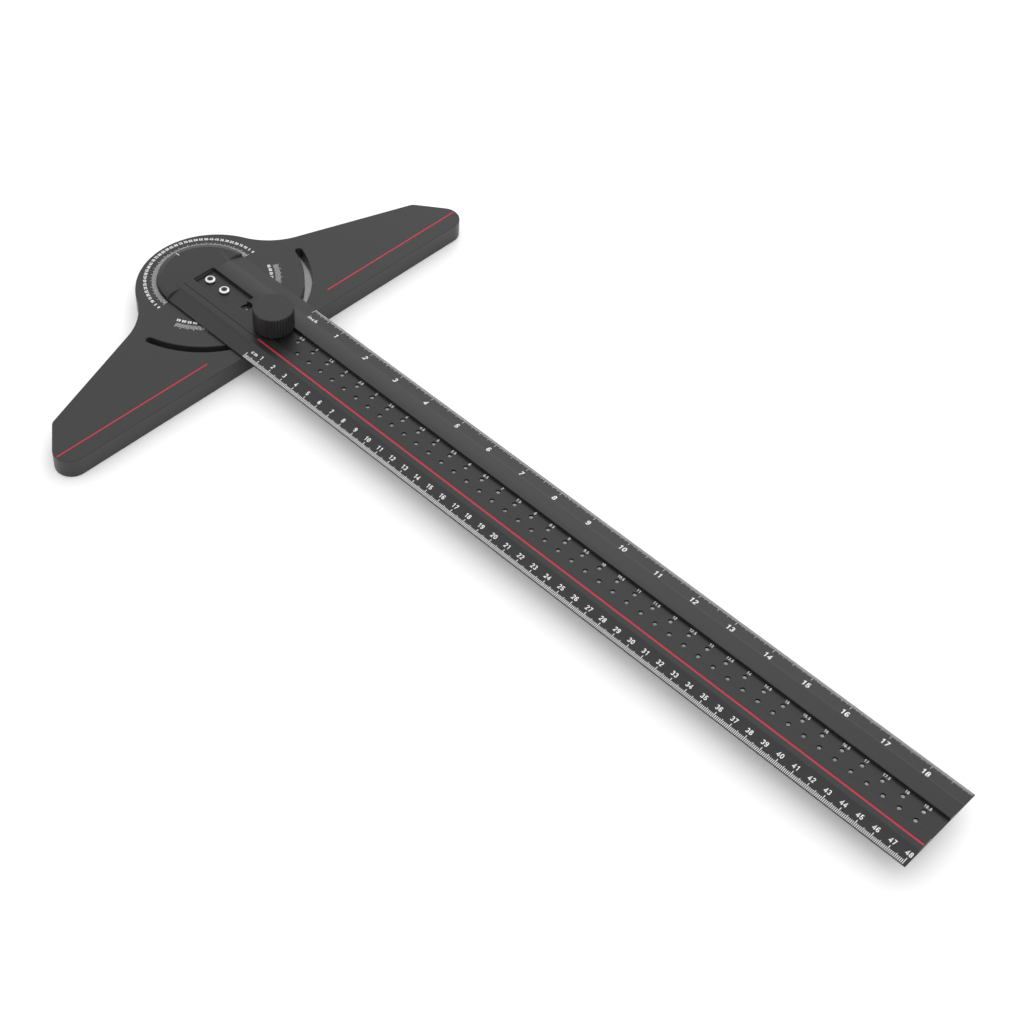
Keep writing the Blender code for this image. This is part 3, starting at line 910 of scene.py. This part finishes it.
edge_scale("cm_ticks", -1, 0.001, 480, CM_TICKS, CM_TICK_WIDTH)
edge_scale("inch_ticks", 1, 0.0254 / 32, 18 * 32 + 30, INCH_TICKS, INCH_TICK_WIDTH)
cm_labels = [(str(n), n * 0.01 + CM_DIGIT_SHIFT, CM_DIGIT_Y) for n in range(1, 49)]
inch_labels = [(str(n), n * 0.0254, INCH_DIGIT_Y) for n in range(1, 19)]
hole_labels = [(f"{n / 2:g}", n * HALF_INCH, HOLE_DIGIT_Y) for n in range(1, 38)]
number_row("cm_numbers", cm_labels, CM_DIGIT)
number_row("inch_numbers", inch_labels, INCH_DIGIT)
number_row("unit_words", [("cm", 0.0040, CM_DIGIT_Y), ("inch", 0.0055, INCH_DIGIT_Y)], UNIT_WORD)
number_row("hole_numbers", hole_labels, HOLE_DIGIT)


def bevel_height(x, y):
    """The height of the round end's bevel and of the flat inside it."""
    past = (Vector((x, y)) - PIVOT).length - (RULE_HALF - ROUND_BEVEL)
    return RULE_TOP - ROUND_DROP * max(0.0, past) / ROUND_BEVEL


POINTER = [(-0.0953, -0.0003), (-0.0934, -0.0003), (-0.0920, -0.0003)]
POINTER_WIDTH = 0.00035
pointer = ribbon(POINTER, POINTER_WIDTH)
pointer_mark = make("pointer_mark", raised(pointer, bevel_height), WHITE_INK)
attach(pointer_mark, "blade")
print("scales made")

# %% [markdown]
# ## The clamp knob
#
# A knurled knob is gripped with thumb and finger. Straight knurling is a ring
# of equal ridges pressed into the side. The ridges are made here as the
# outline itself: six points for each ridge on a smooth wave, from out to in
# and back, so the scalloped edge shows on the top face as it does on the real knob.

# %% Turn and knurl the knob
KNOB_TEETH = 44
KNURL_DEPTH = 0.00065
KNOB_R = (knob_high.x - knob_low.x) / 2
# Steps of the rim: distance from the end face, radius lost, share of the knurl.
KNOB_FOOT = [(0.0, 0.0009, 0.0), (0.0005, 0.0002, 0.7), (0.0010, 0.0, 1.0)]
KNOB_CROWN = [(0.0008, 0.0, 1.0), (0.0003, 0.0002, 0.8), (0.0, 0.0006, 0.3)]
KNOB_HOLLOW_R = 0.0095
KNOB_HOLLOW_DEPTH = 0.0019
INSERT_GAP = 0.0003
BORE_PAST_INSERT = 0.0012


def knurled(radius, depth):
    points = []
    steps = KNOB_TEETH * 6
    for count in range(steps):
        wave = math.cos(2 * math.pi * count / 6)
        reach = radius - depth * (0.5 - 0.5 * wave)
        angle = 2 * math.pi * count / steps
        points.append((KNOB.x + reach * math.cos(angle), KNOB.y + reach * math.sin(angle)))
    return points


def make_knob():
    low = knob_low.z
    rings = [(low + rise, knurled(KNOB_R - less, KNURL_DEPTH * share)) for rise, less, share in KNOB_FOOT]
    rings += [(knob_high.z - drop, knurled(KNOB_R - less, KNURL_DEPTH * share))
              for drop, less, share in KNOB_CROWN]
    knob = make("knurled_knob", stacked(rings), KNOB_BLACK)
    insert_low, insert_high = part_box("knob_insert")
    bore_r = (insert_high.x - insert_low.x) / 2 + INSERT_GAP
    ceiling = low + KNOB_HOLLOW_DEPTH
    steps = [(low - WIDE, KNOB_HOLLOW_R), (ceiling, KNOB_HOLLOW_R), (ceiling, bore_r),
             (insert_high.z + BORE_PAST_INSERT, bore_r)]
    cut_away(knob, [turned(steps, 64, KNOB)], sharp_deg=35)
    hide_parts("knob")
    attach(knob, "knob")
    return knob


knurled_knob = make_knob()
print("knob faces:", len(knurled_knob.data.polygons))

# %% [markdown]
# ## The screws
#
# Two plated pan-head screws hold the rule to its turning disc, and four
# countersunk ones hold the plate underneath. A pan head is a turned shape with
# a low dome. The cross recess is two crossed wedges that get narrower as they
# go down, cut out of the head. In the pan heads the dish and the recess are
# coloured near black, as painted shade.

# %% Screws with a cross recess
SHANK_R = 0.00125
POINT_R = 0.0009
POINT_LENGTH = 0.0004
RIM = 0.0001            # how far the sharp rims are broken
HEAD_SEAT = 0.0003
PAN_SIDE = 0.0007
PAN_CROWN = 0.66        # the crown's radius as a share of the head's
DISH = [(-0.0005, 0.0013), (0.0002, 0.0021)]
SUNK_HEAD = 0.0017


def cross_recess(centre, mouth, depth, reach, width, upward):
    """Two crossed wedges, deepest in the middle, open at the height mouth."""
    cutters = []
    direction = 1 if upward else -1
    levels = [(mouth - direction * depth, 0.35), (mouth + direction * 0.0004, 1.12)]
    if not upward:
        levels.reverse()
    for turned_by in (20, 110):
        rings = []
        for z, share in levels:
            flat = rounded_box(-reach * share, reach * share, -width / 2, width / 2, width * 0.2)
            angle = math.radians(turned_by)
            ring = []
            for x, y in flat:
                ring.append((centre.x + x * math.cos(angle) - y * math.sin(angle),
                             centre.y + x * math.sin(angle) + y * math.cos(angle)))
            rings.append((z, ring))
        cutters.append(stacked(rings))
    return cutters


def pan_screw(node):
    """A pan-head screw that stands for a CAD screw."""
    low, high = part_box(node)
    centre = (low + high) / 2
    head_r = (high.x - low.x) / 2
    head_low = RULE_TOP - POCKET_DEPTH + HEAD_SEAT
    side_top = head_low + PAN_SIDE
    dome = [(low.z, POINT_R), (low.z + POINT_LENGTH, SHANK_R), (head_low, SHANK_R),
            (head_low, head_r - RIM), (head_low + 2 * RIM, head_r)]
    for step in range(8):
        part = math.pi / 2 * step / 7
        height = side_top + (high.z - side_top) * math.sin(part)
        dome.append((height, head_r * (PAN_CROWN + (1 - PAN_CROWN) * math.cos(part))))
    screw = make(node + "_head", turned(dome, 48, centre), NICKEL)
    dish = turned([(high.z + rise, radius) for rise, radius in DISH], 48, centre)
    cross = cross_recess(centre, high.z, depth=0.0011, reach=0.0017, width=0.0008, upward=True)
    # The dish and cross recess faces take the near-black steel: painted shade in the recess.
    cut_away(screw, [dish] + cross, material=RECESS_SHADE_STEEL)
    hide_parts(node)
    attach(screw, "blade")


def sunk_screw(node):
    """A countersunk screw in the plate below the head."""
    low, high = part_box(node)
    centre = (low + high) / 2
    head_r = (high.x - low.x) / 2
    steps = [(low.z, head_r - RIM), (low.z + 2 * RIM, head_r), (low.z + SUNK_HEAD, SHANK_R),
             (high.z - POINT_LENGTH, SHANK_R), (high.z, POINT_R)]
    screw = make(node + "_sunk", turned(steps, 48, centre), ZINC)
    cut_away(screw, cross_recess(centre, low.z, depth=0.0010, reach=0.0015, width=0.0006, upward=False))
    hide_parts(node)
    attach(screw, "blade")


for node_name in ("blade_screw_rear", "blade_screw_front"):
    pan_screw(node_name)
for number in range(1, 5):
    sunk_screw(f"plate_screw_{number}")
print("screws made")

# %% [markdown]
# ## The inner pieces
#
# The disc, bushes, washers, stud and slider have the right shape already, so
# their CAD solids stay. Each only gets a finish that suits how it is made.

# %% Finishes for the solids that stay
INNER = {
    "pivot_disc": TURNED,
    "bore_liner": ACETAL,
    "glide_ring": ACETAL,
    "thrust_washer": ACETAL,
    "friction_washer": ACETAL,
    "wave_spring": ZINC,
    "retaining_plate": ZINC,
    "knob_washer": ZINC,
    "clamp_stud": ZINC,
    "clamp_slider": ZINC,
    "knob_insert": BRASS,
}
for node_name, material in INNER.items():
    frame["nodes"][node_name].data.materials.clear()
    frame["nodes"][node_name].data.materials.append(material)
print("finished solids:", len(INNER))

# %% [markdown]
# ## Floor, light and camera
#
# Black anodised faces have almost no colour of their own: what shows is the
# room in them. So the room does the lighting. A bright, even sky and a plain
# pale floor give every face the same soft grey, and grooves go dark where they
# mirror their own walls. One weak low light behind the tool adds a little
# direction, and a large dim panel is there to be mirrored by the far half of
# the tool. The floor is a translucent sheet with the same weak glow all over.
# The shade on it is real, so it follows the rule when the rule swings.

# %% Floor and lights
TABLE_GLOW = 0.10       # a translucent sheet, evenly lit from below


def make_floor():
    size = 6.0
    mesh = bmesh.new()
    corners = [(-size, -size), (size, -size), (size, size), (-size, size)]
    mesh.faces.new([mesh.verts.new((x, y, HEAD_LOW - 0.0001)) for x, y in corners])
    material, nodes, links, shader = start_material("white_floor", 0.9, 0.0)
    paper = noise(nodes, links, 3.0)
    links.new(ramp(nodes, links, paper, (0.93, 0.93, 0.93), (0.95, 0.95, 0.95)), shader.inputs["Base Color"])
    shader.inputs["Emission Color"].default_value = (1.0, 1.0, 1.0, 1.0)
    shader.inputs["Emission Strength"].default_value = TABLE_GLOW
    floor = make("floor", mesh, material)


def area_light(name, place, target, size, power, mirrored=False):
    light = bpy.data.lights.new(name, "AREA")
    light.shape = "SQUARE"
    light.size = size
    light.energy = power
    lamp = bpy.data.objects.new(name, light)
    bpy.context.scene.collection.objects.link(lamp)
    lamp.location = place
    lamp.visible_glossy = mirrored
    aim = Vector(target) - Vector(place)
    lamp.rotation_euler = aim.to_track_quat("-Z", "Y").to_euler()


def make_sky(strength):
    world = bpy.data.worlds.new("sky")
    bpy.context.scene.world = world
    world.use_nodes = True
    background = world.node_tree.nodes["Background"]
    background.inputs["Color"].default_value = (1.0, 1.0, 1.0, 1.0)
    background.inputs["Strength"].default_value = strength


make_floor()
MIDDLE = (0.19, 0.0, 0.0)
area_light("key", (-1.20, 1.50, 0.80), MIDDLE, size=0.9, power=10.0)
area_light("panel", (-0.14, 1.22, 0.99), MIDDLE, size=1.2, power=2.2, mirrored=True)
make_sky(1.06)
bpy.context.scene.view_settings.view_transform = "Standard"

# %% Camera
EYE = Vector((0.6634, -0.5547, 0.8183))
LOOK_AT = Vector((0.1947, -0.0038, 0.0096))
ROLL_DEG = 4.62
LENS = 69.4


def make_camera():
    data = bpy.data.cameras.new("camera")
    data.lens = LENS
    data.sensor_width = 36.0
    data.clip_start = 0.01
    data.clip_end = 20.0
    camera = bpy.data.objects.new("camera", data)
    bpy.context.scene.collection.objects.link(camera)
    level = (LOOK_AT - EYE).to_track_quat("-Z", "Y").to_matrix()
    rolled = level @ Matrix.Rotation(math.radians(ROLL_DEG), 3, "Z")
    camera.matrix_world = Matrix.Translation(EYE) @ rolled.to_4x4()
    bpy.context.scene.camera = camera


make_camera()
